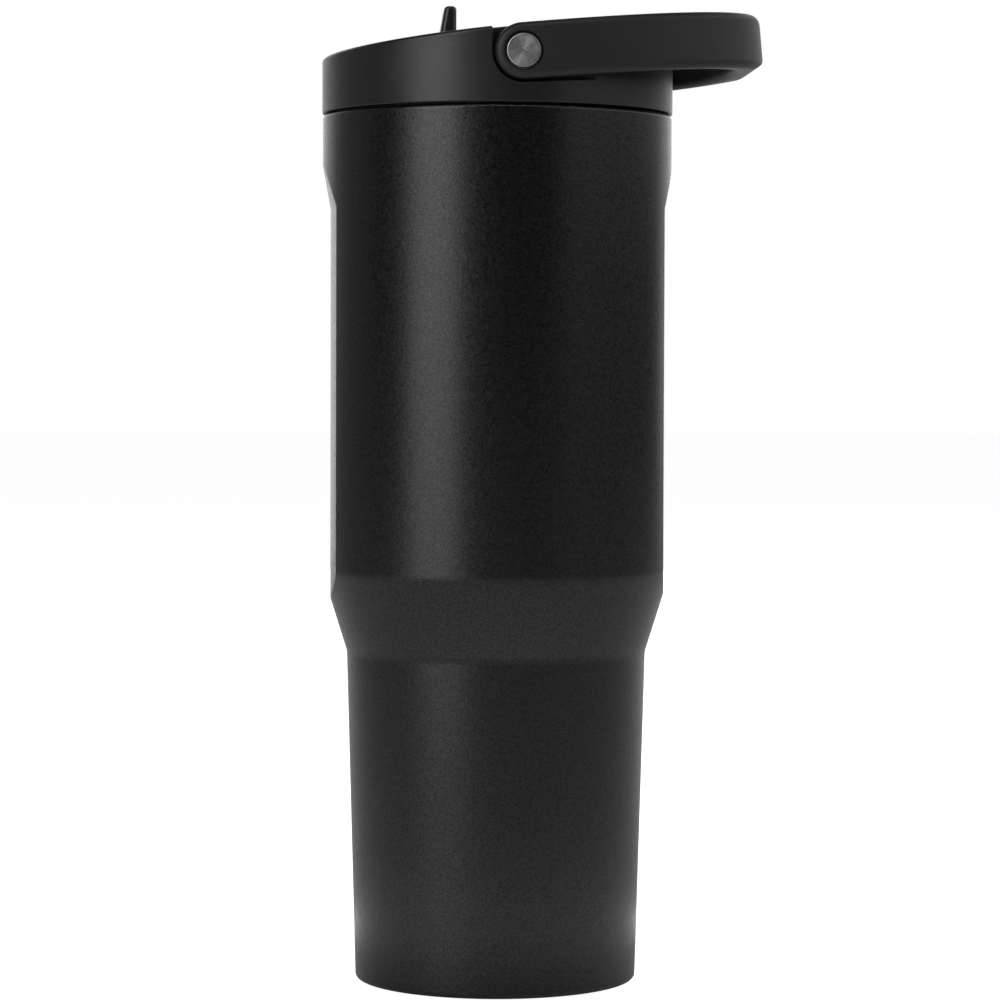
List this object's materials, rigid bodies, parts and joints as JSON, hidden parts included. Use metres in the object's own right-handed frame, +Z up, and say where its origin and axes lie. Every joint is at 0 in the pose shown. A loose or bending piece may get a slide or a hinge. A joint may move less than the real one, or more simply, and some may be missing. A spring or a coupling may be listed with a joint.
{
  "type": "insulated travel mug",
  "caption": "Tall vacuum-walled travel mug with a tapered cup-holder base, side grip facets, screw-in lid, flip spout with straw and a folding carry handle.",
  "frame": {"origin": "centre of the base's underside, on the mug's axis", "axes": "+Z up the mug's axis; +X towards the folded handle's bow; the spout's drinking side is -X"},
  "size_m": [0.1234, 0.1, 0.2735],
  "materials": {
    "powder_coat": "fine orange-peel powder coat, satin",
    "polished_steel": "turned stainless, satin",
    "copper_foil": "bright foil",
    "getter_ceramic": "sintered grey pellet",
    "solder": "dull solder bead",
    "foot_silicone": "matte silicone",
    "gasket_silicone": "translucent grey silicone, satin",
    "lid_plastic": "fine moulded texture, satin",
    "plug_plastic": "moulded, smooth satin",
    "foam": "closed-cell foam",
    "straw_plastic": "translucent moulded plastic",
    "spout_plastic": "smooth satin",
    "handle_soft_touch": "smooth soft-touch coating",
    "pin_steel": "ground stainless",
    "brass_insert": "knurled, satin",
    "spun_metal": "spun, concentric brushing",
    "nylon": "natural nylon"
  },
  "bodies": {
    "mug": {"outer_shell": "powder_coat", "inner_flask": "polished_steel", "rim_weld": "polished_steel", "copper_shield": "copper_foil", "getter": "getter_ceramic", "base_plate": "polished_steel", "vacuum_seal": "solder", "base_pad": "foot_silicone"},
    "lid_seal": {"lid_gasket": "gasket_silicone"},
    "lid": {"lid_shell": "lid_plastic", "lid_plug": "plug_plastic", "lid_insulation": "foam", "vent_valve": "gasket_silicone", "spout_cradle": "lid_plastic", "spout_seat": "gasket_silicone", "straw_seal": "gasket_silicone", "straw_tube": "straw_plastic", "spout_pin_near": "pin_steel", "spout_pin_far": "pin_steel", "pivot_insert_near": "brass_insert", "pivot_insert_far": "brass_insert", "pivot_bolt_near": "pin_steel", "pivot_bolt_far": "pin_steel", "pivot_cap_near": "spun_metal", "pivot_cap_far": "spun_metal"},
    "handle": {"handle": "handle_soft_touch", "pivot_bush_near": "nylon", "pivot_bush_far": "nylon"},
    "spout": {"spout": "spout_plastic"}
  },
  "joints": [
    {"name": "lid_rise", "type": "slide", "parent": "mug", "child": "lid_seal", "axis": [0, 0, 1], "range_m": [0, 0.0101]},
    {"name": "lid_turn", "type": "hinge", "parent": "lid_seal", "child": "lid", "pos_m": [0, 0, 0.2431], "axis": [0, 0, 1], "range_deg": [0, 240]},
    {"name": "handle_swing", "type": "hinge", "parent": "lid", "child": "handle", "pos_m": [0.0042, 0, 0.25715], "axis": [0, -1, 0], "range_deg": [0, 85]},
    {"name": "spout_flip", "type": "hinge", "parent": "lid", "child": "spout", "pos_m": [-0.028, 0, 0.2525], "axis": [0, -1, 0], "range_deg": [0, 83.7]}
  ],
  "couplings": [
    {"joint": "lid_rise", "follows": "lid_turn", "m_per_rad": 0.0023873}
  ]
}
